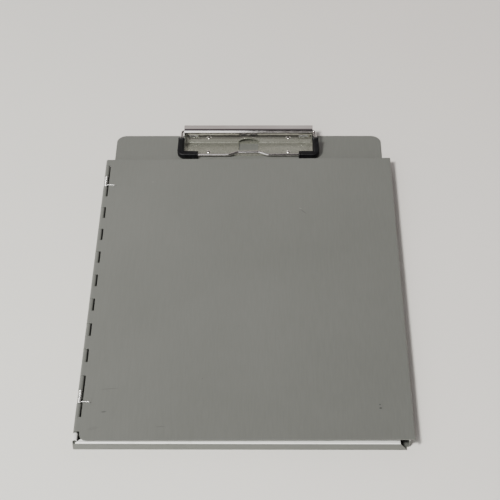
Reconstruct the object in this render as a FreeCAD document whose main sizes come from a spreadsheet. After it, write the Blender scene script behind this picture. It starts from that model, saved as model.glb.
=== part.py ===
import FreeCAD, Part
import math
import os

import Sketcher

# A storage clipboard of folded sheet aluminium. A shallow tray carries a piano hinge on its left side
# and a wire clip on the tab at its far end; a hinged cover plate closes over the papers in the tray.
#
# Frame, in millimetres: +X to the right, +Y towards the clip, +Z up. The origin is on the table, under
# the middle of the board.

DIMENSIONS = {
    # The board as a whole
    "board_width": 228.6,
    "board_length": 336.0,
    "sheet": 0.8,
    # Tab that carries the clip
    "tab_width": 217.0,
    "tab_reach": 40.0,
    "tab_corner": 8.0,
    # Front lip with its flange turned inwards
    "lip_height": 6.9,
    "lip_flange": 8.0,
    "lip_left": 0.4,
    "lip_mitre": 1.9,
    "lip_right_low": 108.6,
    "lip_right_high": 104.0,
    "bend_inner": 0.3,
    "fold_strip": 2.0,
    # Side walls
    "right_wall": 111.0,
    "right_relief": 3.2,
    "left_wall_height": 3.8,
    "seat_gap": 0.1,
    # Piano hinge
    "hinge_radius": 1.7,
    "hinge_height": 6.3,
    "pin_radius": 0.85,
    "knuckle_pitch": 25.4,
    "knuckle_gap": 0.3,
    "knuckle_shift": 0.2,
    "first_knuckle": 7.0,
    "last_knuckle": 7.2,
    "curl_end": 22.0,
    "notch_reach": 2.7,
    # Cover plate
    "cover_length": 294.6,
    "cover_skirt": 3.5,
    "cover_corner": 6.0,
    "closed_tilt": 0.53,
    # Torsion springs on the hinge pin
    "hinge_coil_radius": 1.27,
    "hinge_wire_radius": 0.36,
    "hinge_coil_pitch": 0.76,
    "hinge_coil_turns": 16,
    "leg_play": 0.05,
    "outer_leg_rise": 0.7,
    "outer_leg_top": 1.9,
    "outer_leg_bend": 0.6,
    "hinge_leg": 8.0,
    "inner_leg_drop": 1.4,
    "inner_leg_foot": 3.4,
    "leg_bend": 0.8,
    "hinge_inner_leg": 9.0,
    "leg_relief": 0.02,
    # Clip base plate
    "base_half_width": 52.3,
    "base_front": 142.0,
    "base_rear": 167.9,
    "base_sheet": 0.9,
    "base_corner": 1.5,
    "bead_place": 159.0,
    "bead_radius": 0.9,
    "bead_height": 0.4,
    "bead_end_gap": 1.5,
    "hood_half_width": 8.8,
    "hood_depth": 5.0,
    "hood_height": 4.5,
    "hood_wall": 0.7,
    "hood_front": 158.2,
    "window_half_width": 7.9,
    "window_front": 148.2,
    "window_rear_gap": 0.4,
    "weld_overlap": 0.2,
    "ear_place": 51.2,
    "ear_sheet": 0.8,
    "ear_radius": 2.1,
    "ear_foot": 3.2,
    # Rivets
    "rivet_half_spacing": 32.6,
    "rivet_front": 146.2,
    "rivet_rear": 164.9,
    "rivet_radius": 1.5,
    "rivet_head_radius": 2.1,
    "rivet_head_height": 1.1,
    "rivet_play": 0.05,
    # Clip pivot
    "pivot_place": 161.5,
    "pivot_height": 6.5,
    "pivot_radius": 1.0,
    "pivot_play": 0.05,
    "pivot_half_length": 52.9,
    # Wire bow
    "wire_radius": 1.0,
    "bow_place": 139.6,
    "bow_height": 3.8,
    "bow_slope": 24.0,
    "bow_depth": 21.49,
    "bow_half_front": 55.4,
    "bow_half_rear": 54.1,
    "bow_front_bend": 3.0,
    "bow_rear_bend": 1.5,
    "bow_end": 10.5,
    "hump_half_base": 15.5,
    "hump_half_top": 9.0,
    "hump_offset": 2.4,
    "hump_bend": 5.0,
    # Rubber corner sleeves
    "sleeve_half": 2.5,
    "sleeve_edge": 1.3,
    "sleeve_front_end": 41.0,
    "sleeve_arm_end": 14.8,
    "sleeve_play": 0.05,
    # Lever plate
    "lever_half_width": 52.5,
    "lever_sheet": 0.8,
    "roll_inner": 2.1,
    "roll_setback": 0.67,
    "thumb_rear": 164.3,
    "web_slope": 12.0,
    "web_length": 1.3,
    "cheek_place": 49.5,
    "cheek_radius": 2.1,
    "cheek_top": 11.0,
    "cheek_rise": 0.2,
    "cheek_setback": 0.5,
    "arch_place": 4.3,
    "arch_radius": 4.2,
    "arch_top": 12.0,
    # Torsion springs of the clip
    "clip_coil_radius": 1.65,
    "clip_wire_radius": 0.35,
    "clip_coil_pitch": 0.75,
    "clip_coil_turns": 11,
    "clip_coil_outer": 49.2,
    "web_leg_rise": 1.0,
    "web_leg_top": 4.6,
    "web_leg_lean": 1.1,
    "base_leg_drop": 1.2,
    "base_leg_reach": 2.4,
}

# Where the knuckle places that carry a spring or a cover knuckle are, counted along the hinge
COVER_RUN = 8
LAST_COVER_KNUCKLE = 10
SPRING_PLACES = {"hinge_spring_rear": 0, "hinge_spring_front": 9}
TRAY_KNUCKLES = 11

# Lengths that follow from the driving dimensions
HALF_WIDTH = "Dims.board_width / 2"
FRONT = "(-Dims.board_length / 2)"
REAR = "(Dims.board_length / 2)"
COVER_REAR = "(Dims.board_length / 2 - Dims.tab_reach)"
HINGE_X = "(-Dims.board_width / 2 + Dims.hinge_radius)"
KNUCKLE = "(Dims.knuckle_pitch / 2)"
BORE = "(Dims.hinge_radius - Dims.sheet)"
BEND_OUTER = "(Dims.bend_inner + Dims.sheet)"
BASE_TOP = "(Dims.sheet + Dims.base_sheet)"
ROLL_OUTER = "(Dims.roll_inner + Dims.lever_sheet)"
ROLL_Y = "(Dims.bow_place + Dims.bow_depth * cos(Dims.bow_slope * 1deg) + Dims.roll_setback)"
ROLL_Z = "(Dims.bow_height + Dims.bow_depth * sin(Dims.bow_slope * 1deg) - Dims.roll_setback)"

doc = FreeCAD.newDocument("clipboard")
sheet = doc.addObject("Spreadsheet::Sheet", "Dims")
parts = []


def fill_sheet():
    """Writes the driving dimensions, one named cell each."""
    for row, (alias, value) in enumerate(DIMENSIONS.items(), start=1):
        sheet.set(f"A{row}", alias)
        sheet.set(f"B{row}", str(value))
        sheet.setAlias(f"B{row}", alias)
    doc.recompute()


def value(expression):
    """The number that an expression of sheet cells gives."""
    result = sheet.evalExpression(expression)
    return float(getattr(result, "Value", result))


def new_body(label):
    """An empty body for one piece, listed for export."""
    body = doc.addObject("PartDesign::Body", label)
    body.Label = label
    parts.append(body)
    return body


def plane(body, role):
    """One of the body's own origin planes or axes."""
    return next(f for f in body.Origin.OriginFeatures if f.Role == role)


def new_sketch(body, role, name, offset="0"):
    """A sketch on an origin plane, moved along the plane's normal by an expression."""
    sketch = body.newObject("Sketcher::SketchObject", name)
    sketch.AttachmentSupport = (plane(body, role), [""])
    sketch.MapMode = "FlatFace"
    sketch.setExpression("AttachmentOffset.Base.z", offset)
    return sketch


def fix(sketch, kind, geometry, point, expression):
    """Ties one coordinate of a point to an expression."""
    number = value(expression)
    index = sketch.addConstraint(Sketcher.Constraint(kind, -1, 1, geometry, point, number))
    sketch.setExpression(f"Constraints[{index}]", expression)


def fix_point(sketch, geometry, point, across, up):
    fix(sketch, "DistanceX", geometry, point, across)
    fix(sketch, "DistanceY", geometry, point, up)


def size_radius(sketch, geometry, expression):
    index = sketch.addConstraint(Sketcher.Constraint("Radius", geometry, value(expression)))
    sketch.setExpression(f"Constraints[{index}]", expression)


def circle(sketch, across, up, radius):
    """A circle whose centre and radius are expressions."""
    centre = FreeCAD.Vector(value(across), value(up), 0)
    up_axis = FreeCAD.Vector(0, 0, 1)
    geometry = sketch.addGeometry(Part.Circle(centre, up_axis, value(radius)), False)
    fix_point(sketch, geometry, 3, across, up)
    size_radius(sketch, geometry, radius)


def arc_geometry(start, end, centre, turn):
    """The arc from start to end about centre; turn is +1 for anticlockwise and -1 for clockwise."""
    first, last = (start, end) if turn > 0 else (end, start)
    radius = (first - centre).Length
    from_angle = math.atan2(first.y - centre.y, first.x - centre.x)
    to_angle = math.atan2(last.y - centre.y, last.x - centre.x)
    if to_angle <= from_angle:
        to_angle += 2 * math.pi
    ring = Part.Circle(centre, FreeCAD.Vector(0, 0, 1), radius)
    return Part.ArcOfCircle(ring, from_angle, to_angle)


def outline(sketch, corners):
    """A closed outline. Each corner is (across, up) for a straight run to the next corner, or
    (across, up, centre across, centre up, turn) for an arc to it."""
    points = [FreeCAD.Vector(value(c[0]), value(c[1]), 0) for c in corners]
    runs = []
    for i, corner in enumerate(corners):
        start, end = points[i], points[(i + 1) % len(points)]
        if len(corner) == 2:
            geometry = sketch.addGeometry(Part.LineSegment(start, end), False)
            runs.append((geometry, 1, 2))
            continue
        centre = FreeCAD.Vector(value(corner[2]), value(corner[3]), 0)
        geometry = sketch.addGeometry(arc_geometry(start, end, centre, corner[4]), False)
        runs.append((geometry, 1, 2) if corner[4] > 0 else (geometry, 2, 1))
    for i, (geometry, start, end) in enumerate(runs):
        following = runs[(i + 1) % len(runs)]
        joint = Sketcher.Constraint("Coincident", geometry, end, following[0], following[1])
        sketch.addConstraint(joint)
        fix_point(sketch, geometry, start, corners[i][0], corners[i][1])
        if len(corners[i]) > 2:
            chord = points[(i + 1) % len(points)] - points[i]
            lies_flat = abs(chord.x) >= abs(chord.y)
            kind, place = ("DistanceY", corners[i][3]) if lies_flat else ("DistanceX", corners[i][2])
            fix(sketch, kind, geometry, 3, place)


def rectangle(sketch, left, right, low, high):
    outline(sketch, [(left, low), (right, low), (right, high), (left, high)])


def bent_path(sketch, corners):
    """An open path of straight runs joined by tangent bends. A corner is (across, up) at the two
    ends and (across, up, bend radius) between them."""
    points = [FreeCAD.Vector(value(c[0]), value(c[1]), 0) for c in corners]
    starts, ends, bends = [points[0]], [], []
    for i in range(1, len(points) - 1):
        back = (points[i - 1] - points[i]).normalize()
        ahead = (points[i + 1] - points[i]).normalize()
        half = back.getAngle(ahead) / 2
        radius = value(corners[i][2])
        trim = radius / math.tan(half)
        middle = points[i] + (back + ahead).normalize() * (radius / math.sin(half))
        ends.append(points[i] + back * trim)
        starts.append(points[i] + ahead * trim)
        turn = 1 if back.cross(ahead).z < 0 else -1
        bends.append((arc_geometry(ends[-1], starts[-1], middle, turn), turn))
    ends.append(points[-1])
    lines = [sketch.addGeometry(Part.LineSegment(a, b), False) for a, b in zip(starts, ends)]
    for i, (arc, turn) in enumerate(bends):
        corner = corners[i + 1]
        bend = sketch.addGeometry(arc, False)
        first, last = (1, 2) if turn > 0 else (2, 1)
        sketch.addConstraint(Sketcher.Constraint("Tangent", lines[i], 2, bend, first))
        sketch.addConstraint(Sketcher.Constraint("Tangent", bend, last, lines[i + 1], 1))
        size_radius(sketch, bend, corner[2])
        mark = sketch.addGeometry(Part.Point(points[i + 1]), True)
        fix_point(sketch, mark, 1, corner[0], corner[1])
        sketch.addConstraint(Sketcher.Constraint("PointOnObject", mark, 1, lines[i]))
        sketch.addConstraint(Sketcher.Constraint("PointOnObject", mark, 1, lines[i + 1]))
    fix_point(sketch, lines[0], 1, corners[0][0], corners[0][1])
    fix_point(sketch, lines[-1], 2, corners[-1][0], corners[-1][1])


def pad(body, sketch, length, reverse=False, middle=False):
    """Pads a sketch along its plane's normal."""
    feature = body.newObject("PartDesign::Pad", f"{sketch.Name}_pad")
    feature.Profile = sketch
    feature.setExpression("Length", length)
    feature.Reversed = reverse
    feature.Midplane = middle
    body.Tip = feature
    doc.recompute()
    return feature


def pocket(body, sketch, length, reverse=False, middle=False):
    """Pockets a sketch, and makes sure that it took material away."""
    before = body.Shape.Volume
    feature = body.newObject("PartDesign::Pocket", f"{sketch.Name}_pocket")
    feature.Profile = sketch
    feature.setExpression("Length", length)
    feature.Reversed = reverse
    feature.Midplane = middle
    body.Tip = feature
    doc.recompute()
    if body.Shape.Volume > before - 1e-6:
        raise ValueError(f"{feature.Name} cuts nothing")
    return feature


def repeat(body, features, axis, length, count, reverse=False):
    """Repeats features in a row along one of the body's axes."""
    pattern = body.newObject("PartDesign::LinearPattern", f"{features[0].Name}_row")
    pattern.Originals = features
    pattern.Direction = (plane(body, axis), [""])
    pattern.Reversed = reverse
    pattern.setExpression("Length", length)
    pattern.Occurrences = count
    body.Tip = pattern
    doc.recompute()
    return pattern


def mirror(body, features):
    """Repeats features on the other side of the board's middle plane."""
    twin = body.newObject("PartDesign::Mirrored", f"{features[0].Name}_twin")
    twin.Originals = features
    twin.MirrorPlane = (plane(body, "YZ_Plane"), [""])
    body.Tip = twin
    doc.recompute()
    return twin


def round_edges(body, name, radius, wanted, kind="Fillet", size="Radius"):
    """Rounds or chamfers each edge of the body's present shape that wanted() picks."""
    base = body.Tip
    names = [f"Edge{i}" for i, e in enumerate(base.Shape.Edges, start=1) if wanted(e)]
    if not names:
        raise ValueError(f"no edges for {name}")
    feature = body.newObject(f"PartDesign::{kind}", name)
    feature.Base = (base, names)
    feature.setExpression(size, radius)
    body.Tip = feature
    doc.recompute()
    return feature


def near(edge, x=None, y=None, z=None, slack=0.02):
    """Whether a whole edge lies at the given coordinates."""
    box = edge.BoundBox
    spans = {"x": (x, box.XMin, box.XMax), "y": (y, box.YMin, box.YMax), "z": (z, box.ZMin, box.ZMax)}
    for place, low, high in spans.values():
        if place is not None and (abs(low - place) > slack or abs(high - place) > slack):
            return False
    return True


def pipe(body, profile, path, name, cut=False):
    """Sweeps a profile along a path."""
    kind = "PartDesign::SubtractivePipe" if cut else "PartDesign::AdditivePipe"
    feature = body.newObject(kind, name)
    feature.Profile = profile
    feature.Spine = path
    body.Tip = feature
    doc.recompute()
    return feature


# ---------------------------------------------------------------- tray


def tray_curl(body, name, offset, length):
    """One tray knuckle: the left wall rises and curls over the pin, ending under it."""
    end_angle = "(-90deg - Dims.curl_end * 1deg)"
    left = "(-Dims.board_width / 2)"
    wall_inner = "(-Dims.board_width / 2 + Dims.sheet)"
    axis = "Dims.hinge_height"
    sketch = new_sketch(body, "XZ_Plane", name, offset)
    outline(
        sketch,
        [
            (wall_inner, BEND_OUTER),
            (left, BEND_OUTER),
            (left, axis, HINGE_X, axis, -1),
            (
                f"{HINGE_X} + Dims.hinge_radius * cos({end_angle})",
                f"{axis} + Dims.hinge_radius * sin({end_angle})",
            ),
            (
                f"{HINGE_X} + {BORE} * cos({end_angle})",
                f"{axis} + {BORE} * sin({end_angle})",
                HINGE_X,
                axis,
                1,
            ),
            (wall_inner, axis),
        ],
    )
    return pad(body, sketch, length)


def tray_floor(body):
    """The floor inside the folds, with the tab at its rear."""
    tab = "(Dims.tab_width / 2)"
    tab_inner = "(Dims.tab_width / 2 - Dims.tab_corner)"
    tab_start = f"({REAR} - Dims.tab_corner)"
    right = "(Dims.right_wall - Dims.fold_strip)"
    left = f"(-{HALF_WIDTH} + Dims.fold_strip)"
    front = f"({FRONT} + Dims.fold_strip)"
    sketch = new_sketch(body, "XY_Plane", "floor")
    outline(
        sketch,
        [
            (left, front),
            ("Dims.lip_right_low", front),
            (right, f"{FRONT} + Dims.right_relief"),
            (right, COVER_REAR),
            (tab, COVER_REAR),
            (tab, tab_start, tab_inner, tab_start, 1),
            (tab_inner, REAR),
            (f"(-{tab_inner})", REAR, f"(-{tab_inner})", tab_start, 1),
            (f"(-{tab})", tab_start),
            (f"(-{tab})", COVER_REAR),
            (left, COVER_REAR),
        ],
    )
    pad(body, sketch, "Dims.sheet")


def tray_lip(body):
    """The front wall and its flange as one folded strip, with the flange mitred at the left end
    and the strip cut slantwise at the right end."""
    low_bend = (f"{FRONT} + {BEND_OUTER}", BEND_OUTER)
    high_bend = (f"{FRONT} + {BEND_OUTER}", f"Dims.lip_height - {BEND_OUTER}")
    inside = f"{FRONT} + Dims.sheet"
    flange_end = f"{FRONT} + Dims.lip_flange"
    left = f"(-{HALF_WIDTH} + Dims.lip_left)"
    strip = new_sketch(body, "YZ_Plane", "lip", left)
    outline(
        strip,
        [
            (f"{FRONT} + Dims.fold_strip", "Dims.sheet"),
            (low_bend[0], "Dims.sheet", *low_bend, -1),
            (inside, low_bend[1]),
            (inside, high_bend[1], *high_bend, -1),
            (high_bend[0], "Dims.lip_height - Dims.sheet"),
            (flange_end, "Dims.lip_height - Dims.sheet"),
            (flange_end, "Dims.lip_height"),
            (high_bend[0], "Dims.lip_height", *high_bend, 1),
            (FRONT, high_bend[1]),
            (FRONT, low_bend[1], *low_bend, 1),
            (low_bend[0], "0"),
            (f"{FRONT} + Dims.fold_strip", "0"),
        ],
    )
    pad(body, strip, f"Dims.lip_right_low - {left}")

    slant = new_sketch(body, "XZ_Plane", "lip_slant", f"-({FRONT}) + 1")
    outline(
        slant,
        [
            ("Dims.lip_right_low", "Dims.sheet + 0.2"),
            ("Dims.lip_right_low + 1", "Dims.sheet + 0.2"),
            ("Dims.lip_right_low + 1", "Dims.lip_height + 1"),
            ("Dims.lip_right_high", "Dims.lip_height + 1"),
            ("Dims.lip_right_high", "Dims.lip_height"),
        ],
    )
    pocket(body, slant, "Dims.lip_flange + 2")

    mitre = f"(-{HALF_WIDTH} + Dims.lip_mitre)"
    corner = new_sketch(body, "XY_Plane", "lip_mitre", "Dims.lip_height")
    outline(
        corner,
        [
            (mitre, FRONT),
            (f"{mitre} + Dims.lip_flange + 1", f"{FRONT} + Dims.lip_flange + 1"),
            (f"{mitre} - 2", f"{FRONT} + Dims.lip_flange + 1"),
            (f"{mitre} - 2", FRONT),
        ],
    )
    pocket(body, corner, BEND_OUTER)


def side_wall(body, name, outer, side, front, top):
    """A side wall folded up from the floor. outer is its outer face, and side is +1 on the right
    and -1 on the left."""
    bend = (f"{outer} - {side} * {BEND_OUTER}", BEND_OUTER)
    inner = f"{outer} - {side} * Dims.sheet"
    strip = f"{outer} - {side} * Dims.fold_strip"
    sketch = new_sketch(body, "XZ_Plane", name, f"-{COVER_REAR}")
    outline(
        sketch,
        [
            (strip, "0"),
            (bend[0], "0", *bend, side),
            (outer, bend[1]),
            (outer, top),
            (inner, top),
            (inner, bend[1], *bend, -side),
            (bend[0], "Dims.sheet"),
            (strip, "Dims.sheet"),
        ],
    )
    pad(body, sketch, f"{COVER_REAR} - {front}")


def tray_side_walls(body):
    """The low left wall under the knuckles, and the right wall that the cover rests on."""
    behind_lip = f"({FRONT} + Dims.fold_strip)"
    side_wall(body, "left_wall", f"(-{HALF_WIDTH})", -1, behind_lip, "Dims.left_wall_height")
    reach = f"(Dims.right_wall - Dims.sheet - {HINGE_X})"
    rise = f"{reach} * sin(Dims.closed_tilt * 1deg)"
    right_top = f"Dims.hinge_height + {BORE} + {rise} - Dims.seat_gap"
    side_wall(body, "right_wall", "Dims.right_wall", 1, f"({FRONT} + Dims.right_relief)", right_top)


def make_tray():
    body = new_body("tray")
    tray_floor(body)
    tray_lip(body)
    tray_side_walls(body)
    first = f"-({COVER_REAR}) + Dims.first_knuckle + Dims.knuckle_gap / 2 + Dims.knuckle_shift"
    knuckle = tray_curl(body, "knuckle", first, f"{KNUCKLE} - Dims.knuckle_gap")
    spacing = f"Dims.knuckle_pitch * {TRAY_KNUCKLES - 1}"
    repeat(body, [knuckle], "Y_Axis", spacing, TRAY_KNUCKLES, reverse=True)
    last = f"{first} + Dims.knuckle_pitch * {TRAY_KNUCKLES}"
    tray_curl(
        body, "end_knuckle", last, "Dims.last_knuckle - Dims.knuckle_gap / 2 - Dims.knuckle_shift"
    )
    holes = new_sketch(body, "XY_Plane", "rivet_holes", "Dims.sheet")
    for side in ("", "-"):
        for row in ("Dims.rivet_front", "Dims.rivet_rear"):
            circle(holes, f"{side}Dims.rivet_half_spacing", row, "Dims.rivet_radius + Dims.rivet_play")
    pocket(body, holes, "Dims.sheet")


# ---------------------------------------------------------------- cover


def cover_curl(body, name, offset, length):
    """One cover knuckle, in the cover's own frame on the hinge axis: the plate runs to the left
    over the pin and curls down around it."""
    end_angle = "(-Dims.curl_end * 1deg)"
    top = "Dims.hinge_radius"
    sketch = new_sketch(body, "XZ_Plane", name, offset)
    outline(
        sketch,
        [
            ("Dims.notch_reach", BORE),
            ("Dims.notch_reach", top),
            ("0", top, "0", "0", 1),
            (f"{top} * cos({end_angle})", f"{top} * sin({end_angle})"),
            (f"{BORE} * cos({end_angle})", f"{BORE} * sin({end_angle})", "0", "0", -1),
            ("0", BORE),
        ],
    )
    return pad(body, sketch, length)


def cover_plate(body):
    """The flat plate with its skirt folded down along the right side, and a rounded front corner
    beside the hinge."""
    right = f"({HALF_WIDTH} - {HINGE_X})"
    top = "Dims.hinge_radius"
    bend = (f"{right} - {BEND_OUTER}", f"{top} - {BEND_OUTER}")
    sketch = new_sketch(body, "XZ_Plane", "plate", f"-{COVER_REAR}")
    outline(
        sketch,
        [
            ("Dims.notch_reach", BORE),
            (bend[0], BORE, *bend, -1),
            (f"{right} - Dims.sheet", bend[1]),
            (f"{right} - Dims.sheet", f"{top} - Dims.cover_skirt"),
            (right, f"{top} - Dims.cover_skirt"),
            (right, bend[1], *bend, 1),
            (bend[0], top),
            ("Dims.notch_reach", top),
        ],
    )
    pad(body, sketch, "Dims.cover_length")
    front = value(f"{COVER_REAR} - Dims.cover_length")
    left = value("Dims.notch_reach")
    round_edges(body, "front_corner", "Dims.cover_corner", lambda e: near(e, x=left, y=front))


def make_cover():
    body = new_body("cover")
    cover_plate(body)
    start = f"-{COVER_REAR}"
    cover_curl(body, "rear_end", start, "Dims.first_knuckle - Dims.knuckle_gap / 2")
    first = f"{start} + Dims.first_knuckle + {KNUCKLE} + Dims.knuckle_gap / 2"
    run_start = f"{first} + Dims.knuckle_pitch"
    length = f"{KNUCKLE} - Dims.knuckle_gap"
    knuckle = cover_curl(body, "cover_knuckle", run_start, length)
    spacing = f"Dims.knuckle_pitch * {COVER_RUN - 1}"
    repeat(body, [knuckle], "Y_Axis", spacing, COVER_RUN, reverse=True)
    cover_curl(body, "front_knuckle", f"{first} + Dims.knuckle_pitch * {LAST_COVER_KNUCKLE}", length)
    body.setExpression("Placement.Base.x", HINGE_X)
    body.setExpression("Placement.Base.z", "Dims.hinge_height")
    tilt = FreeCAD.Rotation(FreeCAD.Vector(0, -1, 0), value("Dims.closed_tilt"))
    body.Placement.Rotation = tilt


# ---------------------------------------------------------------- hinge pin and springs


def make_hinge_pin():
    """The pin through every knuckle, ending just inside the last one."""
    body = new_body("hinge_pin")
    sketch = new_sketch(body, "XZ_Plane", "pin_section", f"-{COVER_REAR} + Dims.knuckle_gap")
    circle(sketch, "0", "0", "Dims.pin_radius")
    whole = f"Dims.first_knuckle + Dims.knuckle_pitch * {TRAY_KNUCKLES} + Dims.last_knuckle"
    pad(body, sketch, f"{whole} - 2 * Dims.knuckle_gap")
    round_edges(
        body, "pin_ends", "Dims.pin_radius / 4", lambda e: e.Closed, kind="Chamfer", size="Size"
    )
    body.setExpression("Placement.Base.x", HINGE_X)
    body.setExpression("Placement.Base.z", "Dims.hinge_height")


def coil(body, mean, wire, pitch, turns, length):
    """Close turns of wire about the body's Y axis, from its origin towards -Y."""
    core = new_sketch(body, "XZ_Plane", "core", f"{wire} / 2")
    circle(core, "0", "0", f"{mean} + {wire} / 2")
    circle(core, "0", "0", f"{mean} - {wire} / 2")
    pad(body, core, f"{length} - {wire}")
    turn = new_sketch(body, "XY_Plane", "turn")
    circle(turn, mean, f"-{wire}", wire)
    ring = body.newObject("PartDesign::Revolution", "ring")
    ring.Profile = turn
    ring.ReferenceAxis = (plane(body, "Y_Axis"), [""])
    ring.Angle = 360
    body.Tip = ring
    doc.recompute()
    repeat(body, [ring], "Y_Axis", f"{pitch} * ({turns} - 1)", int(value(turns)), reverse=True)


def spring_leg(body, name, offset, wire, corners):
    """A straight end of the spring's wire, bent where its path bends; it starts on the coil and
    leaves it along X."""
    path = new_sketch(body, "XZ_Plane", f"{name}_path", offset)
    bent_path(path, corners)
    section = new_sketch(body, "YZ_Plane", f"{name}_section", corners[0][0])
    circle(section, f"-({offset})", corners[0][1], f"{wire} - Dims.leg_relief")
    pipe(body, section, path, name)


def make_hinge_spring(label, place):
    """A closing spring on the hinge pin: its outer leg lies on the cover, its inner leg on the
    floor of the tray."""
    mean = "Dims.hinge_coil_radius"
    wire = "Dims.hinge_wire_radius"
    turns = "Dims.hinge_coil_turns"
    length = f"(Dims.hinge_coil_pitch * ({turns} - 1) + 2 * {wire})"
    body = new_body(label)
    coil(body, mean, wire, "Dims.hinge_coil_pitch", turns, length)
    on_cover = f"(Dims.hinge_radius + {wire} + Dims.leg_play)"
    tip = f"({on_cover} + Dims.hinge_leg * tan(Dims.closed_tilt * 1deg))"
    spring_leg(
        body,
        "outer_leg",
        f"{length} - {wire}",
        wire,
        [
            ("0", mean),
            ("Dims.outer_leg_rise", mean, "Dims.outer_leg_bend"),
            ("Dims.outer_leg_top", on_cover, "Dims.leg_bend"),
            ("Dims.hinge_leg", tip),
        ],
    )
    on_floor = f"(Dims.sheet + {wire} + Dims.leg_play - Dims.hinge_height)"
    spring_leg(
        body,
        "inner_leg",
        wire,
        wire,
        [
            ("0", f"-{mean}"),
            ("Dims.inner_leg_drop", f"-{mean}", "Dims.leg_bend"),
            ("Dims.inner_leg_foot", on_floor, "Dims.leg_bend"),
            ("Dims.hinge_inner_leg", on_floor),
        ],
    )
    body.setExpression("Placement.Base.x", HINGE_X)
    body.setExpression("Placement.Base.z", "Dims.hinge_height")
    middle = f"Dims.first_knuckle + {KNUCKLE} * 1.5 + Dims.knuckle_pitch * {place}"
    body.setExpression("Placement.Base.y", f"{COVER_REAR} - ({middle}) + {length} / 2")


# ---------------------------------------------------------------- clip base


def base_ear(body):
    """An upright ear that holds the pivot rod, and its twin on the other side."""
    sketch = new_sketch(body, "YZ_Plane", "ear", "Dims.ear_place")
    pivot = ("Dims.pivot_place", "Dims.pivot_height")
    outline(
        sketch,
        [
            ("Dims.pivot_place - Dims.ear_foot", "Dims.sheet"),
            ("Dims.pivot_place + Dims.ear_foot", "Dims.sheet"),
            ("Dims.pivot_place + Dims.ear_radius", pivot[1], *pivot, 1),
            ("Dims.pivot_place - Dims.ear_radius", pivot[1]),
        ],
    )
    circle(sketch, *pivot, "Dims.pivot_radius + Dims.pivot_play")
    mirror(body, [pad(body, sketch, "Dims.ear_sheet")])


def base_hood(body):
    """The hanging hood: a quarter dome, open to the front, over the window in the plate."""
    shells = (("AdditiveEllipsoid", "hood", "0"), ("SubtractiveEllipsoid", "hood_inside", "Dims.hood_wall"))
    for kind, name, wall in shells:
        dome = body.newObject(f"PartDesign::{kind}", name)
        dome.AttachmentSupport = (plane(body, "XY_Plane"), [""])
        dome.MapMode = "FlatFace"
        dome.setExpression("AttachmentOffset.Base.y", "Dims.hood_front")
        dome.setExpression("AttachmentOffset.Base.z", f"{BASE_TOP} - Dims.weld_overlap")
        dome.setExpression("Radius1", f"Dims.hood_height + Dims.weld_overlap - {wall}")
        dome.setExpression("Radius2", f"Dims.hood_half_width - {wall}")
        dome.setExpression("Radius3", f"Dims.hood_depth - {wall}")
        dome.Angle1 = 0
        dome.Angle2 = 90
        dome.Angle3 = 180
        body.Tip = dome
        doc.recompute()


def make_clip_base():
    body = new_body("clip_base")
    plate = new_sketch(body, "XY_Plane", "base_plate", "Dims.sheet")
    rectangle(
        plate, "-Dims.base_half_width", "Dims.base_half_width", "Dims.base_front", "Dims.base_rear"
    )
    pad(body, plate, "Dims.base_sheet")
    round_edges(
        body,
        "plate_corners",
        "Dims.base_corner",
        lambda e: abs(e.Vertexes[0].Z - e.Vertexes[-1].Z) > 0.5,
    )
    bead = new_sketch(body, "YZ_Plane", "bead")
    drop = "(Dims.bead_radius - Dims.bead_height)"
    half = f"sqrt(Dims.bead_radius ^ 2 - {drop} ^ 2)"
    centre = ("Dims.bead_place", f"{BASE_TOP} - {drop}")
    outline(
        bead,
        [
            (f"Dims.bead_place - {half}", f"{BASE_TOP} - Dims.weld_overlap"),
            (f"Dims.bead_place + {half}", f"{BASE_TOP} - Dims.weld_overlap"),
            (f"Dims.bead_place + {half}", BASE_TOP, *centre, 1),
            (f"Dims.bead_place - {half}", BASE_TOP),
        ],
    )
    pad(body, bead, "2 * (Dims.base_half_width - Dims.bead_end_gap)", middle=True)
    base_hood(body)
    base_ear(body)
    window = new_sketch(body, "XY_Plane", "window", BASE_TOP)
    rectangle(
        window,
        "-Dims.window_half_width",
        "Dims.window_half_width",
        "Dims.window_front",
        "Dims.hood_front - Dims.window_rear_gap",
    )
    pocket(body, window, "Dims.base_sheet")
    holes = new_sketch(body, "XY_Plane", "base_rivet_holes", BASE_TOP)
    for side in ("", "-"):
        for row in ("Dims.rivet_front", "Dims.rivet_rear"):
            circle(holes, f"{side}Dims.rivet_half_spacing", row, "Dims.rivet_radius + Dims.rivet_play")
    pocket(body, holes, "Dims.base_sheet")


def make_rivet(label, side, row):
    """A domed rivet through the base plate and the tab."""
    body = new_body(label)
    sphere = "((Dims.rivet_head_radius ^ 2 + Dims.rivet_head_height ^ 2) / (2 * Dims.rivet_head_height))"
    head_top = f"{BASE_TOP} + Dims.rivet_head_height"
    sketch = new_sketch(body, "XZ_Plane", "rivet_profile")
    outline(
        sketch,
        [
            ("0", "0"),
            ("Dims.rivet_radius", "0"),
            ("Dims.rivet_radius", BASE_TOP),
            ("Dims.rivet_head_radius", BASE_TOP, "0", f"{head_top} - {sphere}", 1),
            ("0", head_top),
        ],
    )
    solid = body.newObject("PartDesign::Revolution", "rivet")
    solid.Profile = sketch
    solid.ReferenceAxis = (plane(body, "Z_Axis"), [""])
    solid.Angle = 360
    body.Tip = solid
    body.setExpression("Placement.Base.x", f"{side}Dims.rivet_half_spacing")
    body.setExpression("Placement.Base.y", row)
    doc.recompute()


# ---------------------------------------------------------------- clip, moving pieces


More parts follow.
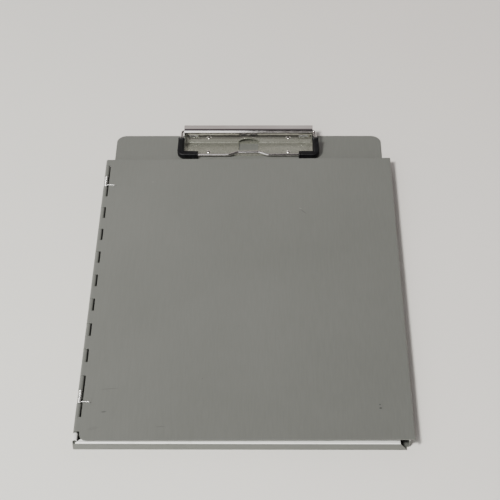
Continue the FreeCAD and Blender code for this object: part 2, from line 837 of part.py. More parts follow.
def make_pivot_rod():
    body = new_body("clip_pivot_rod")
    sketch = new_sketch(body, "YZ_Plane", "rod_section")
    circle(sketch, "0", "0", "Dims.pivot_radius")
    pad(body, sketch, "2 * Dims.pivot_half_length", middle=True)
    round_edges(
        body, "rod_ends", "Dims.pivot_radius / 4", lambda e: e.Closed, kind="Chamfer", size="Size"
    )
    body.setExpression("Placement.Base.y", "Dims.pivot_place")
    body.setExpression("Placement.Base.z", "Dims.pivot_height")


def lever_profile(sketch):
    """Thumb flange, roll and web as one bent strip of sheet, seen from the side. The roll's centre is
    behind and below the ends of the wire bow, which lie in its upper front."""
    slope = "Dims.web_slope * 1deg"

    def on_roll(radius, run):
        across = f"{ROLL_Y} - {radius} * cos({slope}) + {run} * sin({slope})"
        up = f"{ROLL_Z} - {radius} * sin({slope}) - {run} * cos({slope})"
        return across, up

    outline(
        sketch,
        [
            ("Dims.thumb_rear", f"{ROLL_Z} + {ROLL_OUTER}"),
            (ROLL_Y, f"{ROLL_Z} + {ROLL_OUTER}", ROLL_Y, ROLL_Z, 1),
            on_roll(ROLL_OUTER, "0"),
            on_roll(ROLL_OUTER, "Dims.web_length"),
            on_roll("Dims.roll_inner", "Dims.web_length"),
            (*on_roll("Dims.roll_inner", "0"), ROLL_Y, ROLL_Z, -1),
            (ROLL_Y, f"{ROLL_Z} + Dims.roll_inner"),
            ("Dims.thumb_rear", f"{ROLL_Z} + Dims.roll_inner"),
        ],
    )


def lever_notch(body):
    """Two arched reliefs in the middle of the web, with a pointed tongue between them."""
    foot = "(Dims.arch_top - Dims.arch_radius)"
    sketch = new_sketch(body, "XZ_Plane", "web_arches", f"-({ROLL_Y})")
    for sign, turn in (("", 1), ("-", -1)):
        outer = f"{sign}(Dims.arch_place + Dims.arch_radius)"
        inner = f"{sign}(Dims.arch_place - Dims.arch_radius)"
        arch = (outer, foot, f"{sign}Dims.arch_place", foot, turn)
        outline(sketch, [arch, (inner, foot)])
    pocket(body, sketch, f"2 * ({ROLL_OUTER} + Dims.lever_sheet)", middle=True)


def lever_cheek(body):
    """A cheek behind the web with the hole for the pivot rod, and its twin."""
    pivot = ("Dims.pivot_place", "Dims.pivot_height")
    slope = "Dims.web_slope * 1deg"
    sketch = new_sketch(body, "YZ_Plane", "cheek", "Dims.cheek_place")
    web_y = f"{ROLL_Y} - (Dims.roll_inner + Dims.lever_sheet / 2) * cos({slope})"
    web_low = f"{ROLL_Z} - Dims.web_length * cos({slope})"
    outline(
        sketch,
        [
            (f"{web_y} + Dims.web_length * sin({slope})", f"{web_low} + Dims.cheek_rise"),
            (web_y, "Dims.cheek_top"),
            ("Dims.pivot_place - Dims.cheek_setback", "Dims.cheek_top"),
            ("Dims.pivot_place + Dims.cheek_radius", pivot[1], *pivot, -1),
            ("Dims.pivot_place - Dims.cheek_radius", pivot[1]),
        ],
    )
    circle(sketch, *pivot, "Dims.pivot_radius + Dims.pivot_play")
    mirror(body, [pad(body, sketch, "Dims.lever_sheet")])


def make_lever():
    body = new_body("clip_lever")
    strip = new_sketch(body, "YZ_Plane", "strip")
    lever_profile(strip)
    pad(body, strip, "2 * Dims.lever_half_width", middle=True)
    lever_notch(body)
    lever_cheek(body)


def tilt_on_bow(body):
    """Puts a body in the sloping plane of the wire bow, on its front bar."""
    body.setExpression("Placement.Base.y", "Dims.bow_place")
    body.setExpression("Placement.Base.z", "Dims.bow_height")
    body.Placement.Rotation = FreeCAD.Rotation(FreeCAD.Vector(1, 0, 0), value("Dims.bow_slope"))


def make_bow():
    """The wire bow: front bar with a hump, two arms, and two ends that lie in the lever's roll."""
    body = new_body("clip_wire_bow")
    path = new_sketch(body, "XY_Plane", "bow_path")
    half = [
        ("Dims.bow_end", "Dims.bow_depth"),
        ("Dims.bow_half_rear", "Dims.bow_depth", "Dims.bow_rear_bend"),
        ("Dims.bow_half_front", "0", "Dims.bow_front_bend"),
        ("Dims.hump_half_base", "0", "Dims.hump_bend"),
        ("Dims.hump_half_top", "Dims.hump_offset", "Dims.hump_bend"),
    ]
    other = [(f"-{corner[0]}", *corner[1:]) for corner in reversed(half)]
    bent_path(path, half + other)
    section = new_sketch(body, "YZ_Plane", "bow_section", "Dims.bow_end")
    circle(section, "Dims.bow_depth", "0", "Dims.wire_radius")
    pipe(body, section, path, "bow")
    tilt_on_bow(body)


def rounded_square(sketch, centre, half, edge):
    """A square section with rounded corners, centred at a place along the sketch's first axis."""
    inner = f"({half} - {edge})"
    corners = []
    for across, up in ((1, 1), (-1, 1), (-1, -1), (1, -1)):
        middle = (f"{centre} + {across} * {inner}", f"{up} * {inner}")
        side = (f"{centre} + {across} * {half}", f"{up} * {inner}")
        cap = (f"{centre} + {across} * {inner}", f"{up} * {half}")
        first, last = (side, cap) if across * up > 0 else (cap, side)
        corners += [(*first, *middle, 1), last]
    outline(sketch, corners)


def make_sleeve(label, side):
    """A rubber sleeve over one front corner of the bow, with a small bore for the wire."""
    body = new_body(label)
    lean = "(Dims.bow_half_front - Dims.bow_half_rear) / Dims.bow_depth"
    route = [
        (f"{side}Dims.sleeve_front_end", "0"),
        (f"{side}Dims.bow_half_front", "0", "Dims.bow_front_bend"),
        (
            f"{side}(Dims.bow_half_front - {lean} * Dims.sleeve_arm_end)",
            "Dims.sleeve_arm_end",
        ),
    ]
    path = new_sketch(body, "XY_Plane", "sleeve_path")
    bent_path(path, route)
    skin = new_sketch(body, "YZ_Plane", "sleeve_section", f"{side}Dims.sleeve_front_end")
    rounded_square(skin, "0", "Dims.sleeve_half", "Dims.sleeve_edge")
    pipe(body, skin, path, "sleeve")
    bore = new_sketch(body, "YZ_Plane", "sleeve_bore", f"{side}Dims.sleeve_front_end")
    circle(bore, "0", "0", "Dims.wire_radius + Dims.sleeve_play")
    pipe(body, bore, path, "sleeve_hole", cut=True)
    tilt_on_bow(body)


def make_clip_spring(label, side):
    """A closing spring on the pivot rod: one leg presses on the back of the web, the other on the
    base plate."""
    mean = "Dims.clip_coil_radius"
    wire = "Dims.clip_wire_radius"
    turns = "Dims.clip_coil_turns"
    length = f"(Dims.clip_coil_pitch * ({turns} - 1) + 2 * {wire})"
    body = new_body(label)
    coil(body, mean, wire, "Dims.clip_coil_pitch", turns, length)
    spring_leg(
        body,
        "web_leg",
        wire,
        wire,
        [
            ("0", f"-{mean}"),
            ("Dims.web_leg_rise", f"-{mean}", "Dims.leg_bend"),
            ("Dims.web_leg_top", f"-({mean} + Dims.web_leg_lean)"),
        ],
    )
    on_base = f"(Dims.pivot_height - {BASE_TOP} - {wire} - Dims.leg_play)"
    spring_leg(
        body,
        "base_leg",
        f"{length} - {wire}",
        wire,
        [
            ("0", mean),
            ("-Dims.base_leg_drop", mean, "Dims.leg_bend"),
            (f"-{on_base}", f"{mean} + Dims.base_leg_reach"),
        ],
    )
    turn = FreeCAD.Rotation(FreeCAD.Vector(0, 0, 1), FreeCAD.Vector(1, 0, 0), FreeCAD.Vector(0, 1, 0))
    place = f"{side}1 * (Dims.clip_coil_outer - {length} / 2) + {length} / 2"
    body.setExpression("Placement.Base.x", place)
    body.setExpression("Placement.Base.y", "Dims.pivot_place")
    body.setExpression("Placement.Base.z", "Dims.pivot_height")
    body.Placement.Rotation = turn


def check_document():
    """Stops if any object failed or any piece has no valid solid."""
    for thing in doc.Objects:
        if "Invalid" in thing.State or "Error" in thing.State:
            raise ValueError(f"{thing.Name} failed")
        if thing.TypeId == "Sketcher::SketchObject" and thing.solve() != 0:
            raise ValueError(f"{thing.Name} is not solved")
    for piece in parts:
        shape = piece.Shape
        if shape.isNull() or not shape.isValid() or len(shape.Solids) != 1:
            raise ValueError(f"{piece.Label} has no single valid solid")


def main():
    fill_sheet()
    make_tray()
    make_cover()
    make_hinge_pin()
    for label, place in SPRING_PLACES.items():
        make_hinge_spring(label, place)
    make_clip_base()
    rows = {"front": "Dims.rivet_front", "rear": "Dims.rivet_rear"}
    for row, place in rows.items():
        for hand, side in (("left", "-"), ("right", "")):
            make_rivet(f"clip_rivet_{row}_{hand}", side, place)
    make_pivot_rod()
    make_lever()
    make_bow()
    for hand, side in (("left", "-"), ("right", "")):
        make_sleeve(f"corner_sleeve_{hand}", side)
        make_clip_spring(f"clip_spring_{hand}", side)
    doc.recompute()
    check_document()
    os.makedirs("parts", exist_ok=True)
    for piece in parts:
        piece.Shape.exportStep(f"parts/{piece.Label}.step")
        box = piece.Shape.BoundBox
        print(
            f"{piece.Label}: X {box.XMin:.2f} {box.XMax:.2f}  Y {box.YMin:.2f} {box.YMax:.2f}  "
            f"Z {box.ZMin:.2f} {box.ZMax:.2f}  volume {piece.Shape.Volume:.1f}"
        )


main()
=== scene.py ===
import math

import bpy
from mathutils import Matrix, Vector


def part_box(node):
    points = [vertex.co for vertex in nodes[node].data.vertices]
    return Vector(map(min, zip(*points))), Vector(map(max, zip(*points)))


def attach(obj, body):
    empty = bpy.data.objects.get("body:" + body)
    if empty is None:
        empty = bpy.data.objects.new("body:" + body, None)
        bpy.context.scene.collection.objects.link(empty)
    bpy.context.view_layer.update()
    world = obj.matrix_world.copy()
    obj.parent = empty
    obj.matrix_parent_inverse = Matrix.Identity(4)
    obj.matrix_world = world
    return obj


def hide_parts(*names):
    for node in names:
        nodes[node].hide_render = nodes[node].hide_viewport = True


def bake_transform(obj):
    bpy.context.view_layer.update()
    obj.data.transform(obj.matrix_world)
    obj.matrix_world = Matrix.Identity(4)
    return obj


# A storage clipboard on a pale table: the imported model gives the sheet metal, the pin, the rods and the
# rivets, and this script adds the wound springs, the moulded sleeves, the finishes, the light and the view.
# Lengths are in metres: +X to the right, +Y towards the clip, +Z up.

MM = 0.001

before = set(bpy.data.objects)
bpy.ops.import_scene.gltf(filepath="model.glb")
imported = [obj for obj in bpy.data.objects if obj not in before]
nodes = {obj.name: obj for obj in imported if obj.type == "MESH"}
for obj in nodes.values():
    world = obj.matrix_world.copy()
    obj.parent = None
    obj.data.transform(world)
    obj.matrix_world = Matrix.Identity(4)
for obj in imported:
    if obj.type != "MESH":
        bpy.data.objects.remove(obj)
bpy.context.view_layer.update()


# ---------------------------------------------------------------- shading


class Finish:
    """A node material around one Principled surface, with short ways to add nodes."""

    def __init__(self, name):
        self.material = bpy.data.materials.new(name)
        self.material.use_nodes = True
        self.tree = self.material.node_tree
        self.tree.nodes.clear()
        self.surface = self.add("ShaderNodeBsdfPrincipled")
        output = self.add("ShaderNodeOutputMaterial")
        self.tree.links.new(self.surface.outputs["BSDF"], output.inputs["Surface"])
        self.place = self.add("ShaderNodeTexCoord").outputs["Object"]

    def add(self, kind):
        return self.tree.nodes.new(kind)

    def give(self, socket, value):
        """Links a node's output to a socket, or sets the socket to a constant."""
        if isinstance(value, bpy.types.NodeSocket):
            self.tree.links.new(value, socket)
        elif isinstance(value, tuple) and len(value) == 3 and len(socket.default_value) == 4:
            socket.default_value = (*value, 1.0)
        else:
            socket.default_value = value

    def set(self, **values):
        for name, value in values.items():
            self.give(self.surface.inputs[name.replace("_", " ")], value)

    def noise(self, scale, detail=2.0, stretch=(1.0, 1.0, 1.0)):
        mapping = self.add("ShaderNodeMapping")
        self.give(mapping.inputs["Vector"], self.place)
        self.give(mapping.inputs["Scale"], stretch)
        texture = self.add("ShaderNodeTexNoise")
        self.give(texture.inputs["Vector"], mapping.outputs["Vector"])
        self.give(texture.inputs["Scale"], scale)
        self.give(texture.inputs["Detail"], detail)
        return texture.outputs["Fac"]

    def spread(self, value, low, high, to_low=0.0, to_high=1.0, smooth=False):
        node = self.add("ShaderNodeMapRange")
        if smooth:
            node.interpolation_type = "SMOOTHSTEP"
        for name, given in (
            ("Value", value),
            ("From Min", low),
            ("From Max", high),
            ("To Min", to_low),
            ("To Max", to_high),
        ):
            self.give(node.inputs[name], given)
        return node.outputs["Result"]

    def combine(self, operation, first, second):
        node = self.add("ShaderNodeMath")
        node.operation = operation
        self.give(node.inputs[0], first)
        self.give(node.inputs[1], second)
        return node.outputs["Value"]

    def mix(self, amount, first, second):
        node = self.add("ShaderNodeMix")
        node.data_type = "RGBA"
        self.give(node.inputs["Factor"], amount)
        self.give(node.inputs[6], first)
        self.give(node.inputs[7], second)
        return node.outputs[2]

    def axis(self, letter):
        node = self.add("ShaderNodeSeparateXYZ")
        self.give(node.inputs["Vector"], self.place)
        return node.outputs[letter]

    def spot(self, x, y, half_length, half_width, turn=0.0, soft=0.4):
        """1 inside an ellipse on the board, fading to 0 at its rim; sizes in millimetres."""
        mapping = self.add("ShaderNodeMapping")
        mapping.vector_type = "TEXTURE"
        self.give(mapping.inputs["Vector"], self.place)
        self.give(mapping.inputs["Location"], (x * MM, y * MM, 0.0))
        self.give(mapping.inputs["Rotation"], (0.0, 0.0, math.radians(turn)))
        self.give(mapping.inputs["Scale"], (half_length * MM, half_width * MM, 1.0))
        length = self.add("ShaderNodeVectorMath")
        length.operation = "LENGTH"
        self.give(length.inputs[0], mapping.outputs["Vector"])
        return self.spread(length.outputs["Value"], soft, 1.0, 1.0, 0.0, smooth=True)

    def relief(self, height, distance, radius=0.0):
        """Bumps of that depth; with a radius, edges also catch the light as if rounded."""
        bump = self.add("ShaderNodeBump")
        self.give(bump.inputs["Height"], height)
        self.give(bump.inputs["Distance"], distance)
        self.give(bump.inputs["Strength"], 1.0)
        if radius:
            bevel = self.add("ShaderNodeBevel")
            bevel.samples = 4
            self.give(bevel.inputs["Radius"], radius)
            self.give(bump.inputs["Normal"], bevel.outputs["Normal"])
        self.set(Normal=bump.outputs["Normal"])


SHEET_TONES = ((0.158, 0.165, 0.150), (0.170, 0.177, 0.162))
# The colour of the painted shade towards the front right of the sheet
FALLOFF_SHADE_TONE = (0.085, 0.09, 0.082)
GRAIN_TONE = (0.24, 0.24, 0.23)
# The colour of the painted highlight on the front lip's flange
FLANGE_HIGHLIGHT_TONE = (0.86, 0.87, 0.84)
# The painted highlight on the front flange fades in over this height, and out over this stretch along the
# board
HIGHLIGHT_ABOVE = (0.0062, 0.0067)
HIGHLIGHT_IN_FRONT_OF = (-0.1600, -0.1596)


def aluminium(name, marks=(), painted_flange_highlight=False):
    """Satin grey anodised sheet with faint rolling grain, handling smudges, the given marks and painted shade
    that darkens it towards the front right. The front lip's flange and the frontmost knuckle can get a
    painted highlight as bright as bare metal."""
    finish = Finish(name)
    cloud = finish.spread(finish.noise(9.0, 3.0), 0.35, 0.65)
    colour = finish.mix(cloud, *SHEET_TONES)
    # Painted shade: the sheet is darkened towards the front right, standing in for the light falling off
    # across the board.
    run = finish.combine("SUBTRACT", finish.axis("X"), finish.combine("MULTIPLY", finish.axis("Y"), 0.6))
    painted_falloff_shade = finish.spread(run, -0.12, 0.17, 0.0, 0.45)
    colour = finish.mix(painted_falloff_shade, colour, FALLOFF_SHADE_TONE)
    grain = finish.noise(900.0, 2.0, (1.0, 0.08, 1.0))
    colour = finish.mix(
        finish.combine("MULTIPLY", finish.spread(grain, 0.3, 0.7), 0.10), colour, GRAIN_TONE
    )
    for spot, tint, amount in marks:
        colour = finish.mix(finish.combine("MULTIPLY", finish.spot(*spot), amount), colour, tint)
    # Painted highlight: the front lip's flange and the frontmost knuckle are painted near white, standing in
    # for the light they catch.
    if painted_flange_highlight:
        high = finish.spread(finish.axis("Z"), *HIGHLIGHT_ABOVE)
        forward = finish.spread(finish.axis("Y"), *HIGHLIGHT_IN_FRONT_OF, 1.0, 0.0)
        patchy = finish.spread(finish.noise(90.0, 3.0), 0.25, 0.45, 0.82, 1.0)
        flange_highlight_mask = finish.combine("MULTIPLY", finish.combine("MULTIPLY", high, forward), patchy)
        colour = finish.mix(flange_highlight_mask, colour, FLANGE_HIGHLIGHT_TONE)
    roughness = finish.spread(finish.noise(60.0, 4.0), 0.3, 0.7, 0.44, 0.52)
    finish.set(Base_Color=colour, Metallic=0.25, Roughness=roughness)
    finish.relief(finish.noise(2600.0, 2.0), 0.000006, 0.00025)
    return finish


DARK = (0.04, 0.04, 0.04)
PALE = (0.36, 0.36, 0.34)
# Scratches and spots on the cover: the ellipse for Finish.spot, its tint and how strong it is
COVER_MARKS = (
    ((43.5, 63.1, 4.2, 0.55, -48.0), DARK, 0.45),
    ((41.2, 66.9, 1.6, 0.5, -30.0), PALE, 0.35),
    ((92.1, -135.9, 0.9, 0.8), DARK, 0.75),
    ((92.4, -139.1, 1.2, 1.0), DARK, 0.95),
    ((-56.0, -154.8, 4.2, 0.5, 4.0), DARK, 0.35),
    ((-95.0, -141.3, 2.4, 1.0, 8.0), DARK, 0.5),
    ((-92.5, -120.4, 8.5, 0.45, 5.0), DARK, 0.35),
    ((-29.0, -111.3, 0.6, 0.5), DARK, 0.4),
    ((-4.5, -60.6, 0.6, 0.5), DARK, 0.35),
    ((-75.1, 99.9, 0.7, 0.6), PALE, 0.5),
    ((-101.0, -156.0, 5.0, 2.0, 20.0), DARK, 0.12),
)
cover_finish = aluminium("cover_aluminium", COVER_MARKS)
tray_finish = aluminium("tray_aluminium", painted_flange_highlight=True)


def metal(name, low, high, roughness, depth, radius=0.0002, metallic=1.0):
    """Plated or drawn metal: its tint and gloss vary a little along the piece."""
    finish = Finish(name)
    cloud = finish.spread(finish.noise(55.0, 3.0, (0.3, 1.0, 1.0)), 0.35, 0.65)
    colour = finish.mix(cloud, low, high)
    gloss = finish.spread(finish.noise(240.0, 3.0), 0.3, 0.7, roughness * 0.8, roughness * 1.25)
    finish.set(Base_Color=colour, Metallic=metallic, Roughness=gloss)
    finish.relief(finish.noise(700.0, 2.0), depth, radius)
    return finish


nickel_finish = metal(
    "nickel_plate", (0.235, 0.24, 0.20), (0.275, 0.28, 0.24), 0.27, 0.000002, metallic=0.55
)
rivet_finish = metal("nickel_rivets", (0.62, 0.61, 0.55), (0.74, 0.73, 0.67), 0.18, 0.000003)
chrome_finish = metal("chrome_plate", (0.66, 0.62, 0.60), (0.80, 0.78, 0.75), 0.09, 0.000002)
# The pivot rod is coloured near black: painted shade standing in for the dark gap under the lever's roll.
rod_shade_finish = metal("rod_painted_shade", (0.05, 0.048, 0.045), (0.08, 0.078, 0.072), 0.4, 0.000003)
wire_finish = metal("drawn_wire", (0.50, 0.50, 0.49), (0.66, 0.66, 0.64), 0.27, 0.000003, 0.0)

rubber_finish = Finish("black_rubber")
dust = rubber_finish.spread(rubber_finish.noise(420.0, 4.0), 0.5, 0.8)
rubber_finish.set(
    Base_Color=rubber_finish.mix(dust, (0.0025, 0.0025, 0.003), (0.008, 0.009, 0.011)),
    Roughness=rubber_finish.spread(rubber_finish.noise(300.0, 3.0), 0.3, 0.7, 0.42, 0.55),
    Specular_IOR_Level=0.22,
)
rubber_finish.relief(rubber_finish.noise(1500.0, 2.0), 0.00001)

FINISHES = {
    "tray": tray_finish,
    "cover": cover_finish,
    "clip_base": nickel_finish,
    "clip_rivet_front_left": rivet_finish,
    "clip_rivet_front_right": rivet_finish,
    "clip_rivet_rear_left": rivet_finish,
    "clip_rivet_rear_right": rivet_finish,
    "hinge_pin": wire_finish,
    "clip_pivot_rod": rod_shade_finish,
    "clip_lever": chrome_finish,
    "clip_wire_bow": chrome_finish,
    "hinge_spring_rear": wire_finish,
    "hinge_spring_front": wire_finish,
    "clip_spring_left": wire_finish,
    "clip_spring_right": wire_finish,
    "corner_sleeve_left": rubber_finish,
    "corner_sleeve_right": rubber_finish,
}
for node, finish in FINISHES.items():
    nodes[node].data.materials.clear()
    nodes[node].data.materials.append(finish.material)


# ---------------------------------------------------------------- shapes


def rounded(points, radius, steps=6):
    """The same path with each corner rounded by about that radius."""
    path = [points[0]]
    for before, corner, after in zip(points, points[1:], points[2:]):
        back, ahead = before - corner, after - corner
        turn = math.pi - back.angle(ahead)
        reach = min(radius * math.tan(turn / 2), 0.45 * back.length, 0.45 * ahead.length)
        first = corner + back.normalized() * reach
        last = corner + ahead.normalized() * reach
        for step in range(steps + 1):
            t = step / steps
            path.append(first * (1 - t) ** 2 + corner * (2 * t * (1 - t)) + last * t**2)
    path.append(points[-1])
    return path


def swept(name, path, section, finish, up=Vector((0, 0, 1))):
    """A closed skin along a path. section(share) gives the ring of (across, up) at that share of it."""
    rings = []
    lengths = [0.0]
    for first, last in zip(path, path[1:]):
        lengths.append(lengths[-1] + (last - first).length)
    side = None
    for index, point in enumerate(path):
        ahead = path[min(index + 1, len(path) - 1)] - path[max(index - 1, 0)]
        ahead.normalize()
        if side is None:
            side = ahead.cross(up).normalized()
        side = (side - ahead * side.dot(ahead)).normalized()
        top = side.cross(ahead)
        ring = [point + side * a + top * b for a, b in section(lengths[index] / lengths[-1])]
        rings.append(ring)
    count = len(rings[0])
    vertices = [vertex for ring in rings for vertex in ring]
    faces = []
    for row in range(len(rings) - 1):
        for step in range(count):
            low = row * count
            high = low + count
            after = (step + 1) % count
            faces.append((low + step, low + after, high + after, high + step))
    faces.append(tuple(range(count - 1, -1, -1)))
    faces.append(tuple(range((len(rings) - 1) * count, len(rings) * count)))
    mesh = bpy.data.meshes.new(name)
    mesh.from_pydata(vertices, [], faces)
    mesh.validate()
    for polygon in mesh.polygons:
        polygon.use_smooth = len(polygon.vertices) == 4
    mesh.materials.append(finish.material)
    piece = bpy.data.objects.new(name, mesh)
    bpy.context.scene.collection.objects.link(piece)
    return piece


def wire_section(radius, sides=12):
    ring = [
        (radius * math.cos(math.tau * k / sides), radius * math.sin(math.tau * k / sides))
        for k in range(sides)
    ]
    return lambda share: ring


def wound(axis_point, axis, start, radius, length, angle, turn, per_turn=28):
    """Points of a coil about an axis line: it starts at an angle and turns by that much over its length.
    start is the direction of angle 0, square to the axis."""
    other = axis.cross(start)
    steps = max(2, int(abs(turn) / math.tau * per_turn))
    points = []
    for step in range(steps + 1):
        share = step / steps
        now = angle + turn * share
        out = start * math.cos(now) + other * math.sin(now)
        points.append(axis_point + axis * (length * share) + out * radius)
    return points


# ---------------------------------------------------------------- hinge springs

HINGE_X = -112.6 * MM
HINGE_Z = 6.3 * MM
HINGE_WIRE = 0.36 * MM
HINGE_COIL = 1.27 * MM
HINGE_TURNS = 15.5
FLOOR_TOP = 0.8 * MM
COVER_TOP = HINGE_Z + 1.7 * MM
COVER_SLOPE = math.tan(math.radians(0.53))
# How far the corners of the legs are from the pin, in millimetres
INNER_TIP, INNER_FOOT, INNER_KNEE = 9.0, 3.4, 1.4
OUTER_START, OUTER_KNEE, OUTER_BEND, OUTER_TIP = 0.7, 1.9, 6.2, 8.2
TIP_HOOK = 0.8 * MM


def hinge_spring(node):
    """A torsion spring on the hinge pin: one leg on the tray's floor, one on the cover's face."""
    low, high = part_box(node)
    rear = high.y - HINGE_WIRE
    front = low.y + HINGE_WIRE
    floor = FLOOR_TOP + HINGE_WIRE

    def at(x, y, z):
        return Vector((HINGE_X + x * MM, y, z))

    inner = [
        at(INNER_TIP, rear, floor),
        at(INNER_FOOT, rear, floor),
        at(INNER_KNEE, rear, HINGE_Z - HINGE_COIL),
        at(0.0, rear, HINGE_Z - HINGE_COIL),
    ]
    turns = wound(
        Vector((HINGE_X, rear, HINGE_Z)),
        Vector((0, -1, 0)),
        Vector((0, 0, -1)),
        HINGE_COIL,
        rear - front,
        0.0,
        -math.tau * HINGE_TURNS,
    )
    on_cover = COVER_TOP + HINGE_WIRE
    outer = [
        at(0.0, front, HINGE_Z + HINGE_COIL),
        at(OUTER_START, front, HINGE_Z + HINGE_COIL),
        at(OUTER_KNEE, front, on_cover),
        at(OUTER_BEND, front, on_cover + OUTER_BEND * MM * COVER_SLOPE),
        at(OUTER_TIP, front - TIP_HOOK, on_cover + OUTER_TIP * MM * COVER_SLOPE),
    ]
    path = rounded(inner, 0.8 * MM)[:-1] + turns + rounded(outer, 0.7 * MM)[1:]
    spring = swept(node + "_wire", path, wire_section(HINGE_WIRE), wire_finish, Vector((0, 1, 0.01)))
    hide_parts(node)
    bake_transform(spring)


for node in ("hinge_spring_rear", "hinge_spring_front"):
    hinge_spring(node)


# ---------------------------------------------------------------- clip springs

PIVOT_Y = 161.5 * MM
PIVOT_Z = 6.5 * MM
CLIP_WIRE = 0.35 * MM
CLIP_COIL = 1.65 * MM
BASE_TOP = 1.7 * MM
# The wire leaves the base leg at the first angle and winds on to the web leg
COIL_START = math.radians(-120.0)
COIL_TURN = -math.tau * 10 - math.radians(60.0)
BASE_LEG_SLOPE = math.radians(30.0)
WEB_LEG_RISE = 1.0 * MM
WEB_LEG_LEAN = 1.05 * MM
WEB_LEG_TOP = 4.55 * MM


def clip_spring(node):
    """A torsion spring on the pivot rod: one leg on the base plate, one behind the lever's web."""
    low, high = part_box(node)
    left, right = low.x + CLIP_WIRE, high.x - CLIP_WIRE
    middle = Vector((left, PIVOT_Y, PIVOT_Z))
    turns = wound(
        middle, Vector((1, 0, 0)), Vector((0, 1, 0)), CLIP_COIL, right - left, COIL_START, COIL_TURN
    )
    drop = turns[0].z - BASE_TOP - CLIP_WIRE
    back = drop / math.tan(BASE_LEG_SLOPE)
    foot = Vector((left, turns[0].y + back, BASE_TOP + CLIP_WIRE))
    tip = turns[-1]
    web = [
        tip,
        tip + Vector((0, 0, WEB_LEG_RISE)),
        Vector((right, PIVOT_Y - CLIP_COIL - WEB_LEG_LEAN, PIVOT_Z + WEB_LEG_TOP)),
    ]
    path = [foot] + turns + rounded(web, 0.8 * MM)[1:]
    spring = swept(node + "_wire", path, wire_section(CLIP_WIRE), wire_finish, Vector((1, 0, 0.01)))
    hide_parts(node)
    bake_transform(spring)


for node in ("clip_spring_left", "clip_spring_right"):
    clip_spring(node)


# ---------------------------------------------------------------- sleeves

BOW_Y = 139.6 * MM
BOW_Z = 3.8 * MM
BOW_SLOPE = math.radians(24.0)
BOW_HALF_FRONT = 55.4 * MM
BOW_HALF_REAR = 54.1 * MM
BOW_DEPTH = 21.49 * MM
SLEEVE_HALF = 2.6 * MM
SLEEVE_FRONT_END = 41.0 * MM
SLEEVE_ARM = 14.8 * MM
SLEEVE_BEND = 3.2 * MM
# Shares of the sleeve's length, from either end, where the rim, the collar and the groove stop
RIM, COLLAR, GROOVE = 0.012, 0.05, 0.075
RIM_SIZE, GROOVE_SIZE, BODY_SIZE = 0.88, 0.92, 0.98
# The section rolls to the front bar's plane from this share on, over this much of the length
ROLL_START, ROLL_RUN = 0.38, 0.22
SECTION_SIDES = 40
SQUARENESS = 5


def sleeve_section(side):
    """A square with rounded edges: flat on the paper along the front bar, square to the bow's slope along
    the arm. Both ends carry a raised collar with a fine groove behind it."""

    def section(share):
        end = min(share, 1.0 - share)
        if end < RIM:
            half = SLEEVE_HALF * (RIM_SIZE + (1.0 - RIM_SIZE) * end / RIM)
        elif end < COLLAR:
            half = SLEEVE_HALF
        elif end < GROOVE:
            half = SLEEVE_HALF * GROOVE_SIZE
        else:
            half = SLEEVE_HALF * BODY_SIZE
        passed = min(max((share - ROLL_START) / ROLL_RUN, 0.0), 1.0)
        roll = side * BOW_SLOPE * (1.0 - passed * passed * (3.0 - 2.0 * passed))
        ring = []
        for k in range(SECTION_SIDES):
            angle = math.tau * k / SECTION_SIDES
            c, s = math.cos(angle), math.sin(angle)
            reach = half / (abs(c) ** SQUARENESS + abs(s) ** SQUARENESS) ** (1 / SQUARENESS)
            across, up = reach * c, reach * s
            ring.append(
                (across * math.cos(roll) - up * math.sin(roll), across * math.sin(roll) + up * math.cos(roll))
            )
        return ring

    return section


def sleeve(side, name):
    """A moulded rubber sleeve round a front corner of the wire bow."""
    front = Vector((side * SLEEVE_FRONT_END, BOW_Y, BOW_Z))
    corner = Vector((side * BOW_HALF_FRONT, BOW_Y, BOW_Z))
    lean = (BOW_HALF_REAR - BOW_HALF_FRONT) / BOW_DEPTH
    arm = Vector((side * lean, math.cos(BOW_SLOPE), math.sin(BOW_SLOPE))).normalized()
    end = corner + arm * SLEEVE_ARM
    corners = rounded([front, corner, end], SLEEVE_BEND, 14)
    path = []
    for first, last in zip(corners, corners[1:]):
        steps = max(1, int((last - first).length / (0.25 * MM)))
        path += [first.lerp(last, k / steps) for k in range(steps)]
    path.append(corners[-1])
    plane_up = Vector((0, -math.sin(BOW_SLOPE), math.cos(BOW_SLOPE)))
    piece = swept(name + "_moulded", path, sleeve_section(side), rubber_finish, plane_up)
    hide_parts(name)
    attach(piece, "lever_body")


sleeve(-1, "corner_sleeve_left")
sleeve(1, "corner_sleeve_right")


# ---------------------------------------------------------------- table, light and view

TABLE_HALF = 3.0
TABLE_CORNERS = [(x * TABLE_HALF, y * TABLE_HALF, 0) for x, y in ((-1, -1), (1, -1), (1, 1), (-1, 1))]
table_mesh = bpy.data.meshes.new("table")
table_mesh.from_pydata(TABLE_CORNERS, [], [(0, 1, 2, 3)])
table = bpy.data.objects.new("table", table_mesh)
bpy.context.scene.collection.objects.link(table)
paper = Finish("table_paper")
# Painted shade: the table is lighter at the front left and darker and warmer towards the back right, standing
# in for the light falling off.
across = paper.combine("ADD", paper.axis("X"), paper.combine("MULTIPLY", paper.axis("Y"), 0.45))
tone = paper.mix(paper.spread(across, -0.22, 0.28), (0.82, 0.815, 0.765), (0.78, 0.75, 0.715))
cloud = paper.spread(paper.noise(7.0, 3.0), 0.35, 0.65)
paper.set(
    Base_Color=paper.mix(paper.combine("MULTIPLY", cloud, 0.10), tone, (0.66, 0.655, 0.64)), Roughness=0.75
)
paper.relief(paper.noise(1200.0, 3.0), 0.00002)
table_mesh.materials.append(paper.material)

world = bpy.data.worlds.new("studio")
bpy.context.scene.world = world
world.use_nodes = True
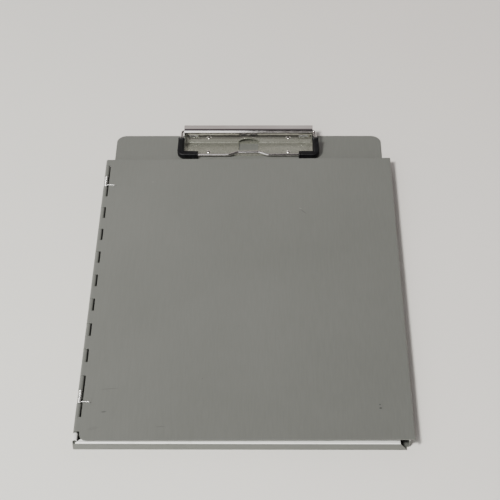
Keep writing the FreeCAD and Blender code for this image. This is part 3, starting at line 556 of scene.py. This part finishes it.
# The walls are pale up to above the eye and the ceiling is dark; the wall behind the clip is brighter
sky = world.node_tree
background = sky.nodes["Background"]
direction = sky.nodes.new("ShaderNodeTexCoord").outputs["Generated"]
split = sky.nodes.new("ShaderNodeSeparateXYZ")
sky.links.new(direction, split.inputs["Vector"])
rise = sky.nodes.new("ShaderNodeValToRGB")
for place, tone in (
    (0.0, (0.50, 0.48, 0.47)),
    (0.58, (0.50, 0.47, 0.46)),
    (0.80, (0.14, 0.125, 0.13)),
    (1.0, (0.08, 0.075, 0.08)),
):
    stops = rise.color_ramp.elements
    stop = stops[0] if place == 0.0 else stops[-1] if place == 1.0 else stops.new(place)
    stop.position = place
    stop.color = (*tone, 1.0)
sky.links.new(split.outputs["Z"], rise.inputs["Fac"])
sky.links.new(rise.outputs["Color"], background.inputs["Color"])
behind = sky.nodes.new("ShaderNodeMapRange")
for name, given in (("From Min", -0.2), ("From Max", 0.3), ("To Min", 0.45), ("To Max", 1.5)):
    behind.inputs[name].default_value = given
sky.links.new(split.outputs["Y"], behind.inputs["Value"])
sky.links.new(behind.outputs["Result"], background.inputs["Strength"])


def soft_box(name, place, target, width, height, power, tint):
    """A rectangular lamp that faces a target; sizes in metres, power in watts."""
    data = bpy.data.lights.new(name, "AREA")
    data.shape = "RECTANGLE"
    data.size = width
    data.size_y = height
    data.energy = power
    data.color = tint
    lamp = bpy.data.objects.new(name, data)
    lamp.location = place
    lamp.rotation_mode = "QUATERNION"
    lamp.rotation_quaternion = (Vector(target) - Vector(place)).to_track_quat("-Z", "Y")
    bpy.context.scene.collection.objects.link(lamp)


soft_box("key", (-1.18, -1.63, 2.51), (0, 0, 0), 0.55, 0.55, 150.0, (1.0, 0.98, 0.94))
soft_box("window", (-0.97, -1.40, 0.925), (-0.97, 0, 0), 1.88, 1.98, 23.0, (0.98, 0.99, 1.0))

YAW = math.radians(-1.0005)
PITCH = math.radians(42.598)
ROLL = math.radians(-0.660)
CAMERA_PLACE = (0.01738, -0.83010, 0.79039)
SENSOR = 36.0
LENS = 110.4
ahead = Vector(
    (math.sin(YAW) * math.cos(PITCH), math.cos(YAW) * math.cos(PITCH), -math.sin(PITCH))
)
level = Vector((math.cos(YAW), -math.sin(YAW), 0))
upright = level.cross(ahead)
right = level * math.cos(ROLL) + upright * math.sin(ROLL)
top = upright * math.cos(ROLL) - level * math.sin(ROLL)
camera_data = bpy.data.cameras.new("camera")
camera_data.sensor_width = SENSOR
camera_data.lens = LENS
camera = bpy.data.objects.new("camera", camera_data)
camera.matrix_world = Matrix.Translation(CAMERA_PLACE) @ Matrix(
    (
        (right.x, top.x, -ahead.x),
        (right.y, top.y, -ahead.y),
        (right.z, top.z, -ahead.z),
    )
).to_4x4()
bpy.context.scene.collection.objects.link(camera)
bpy.context.scene.camera = camera
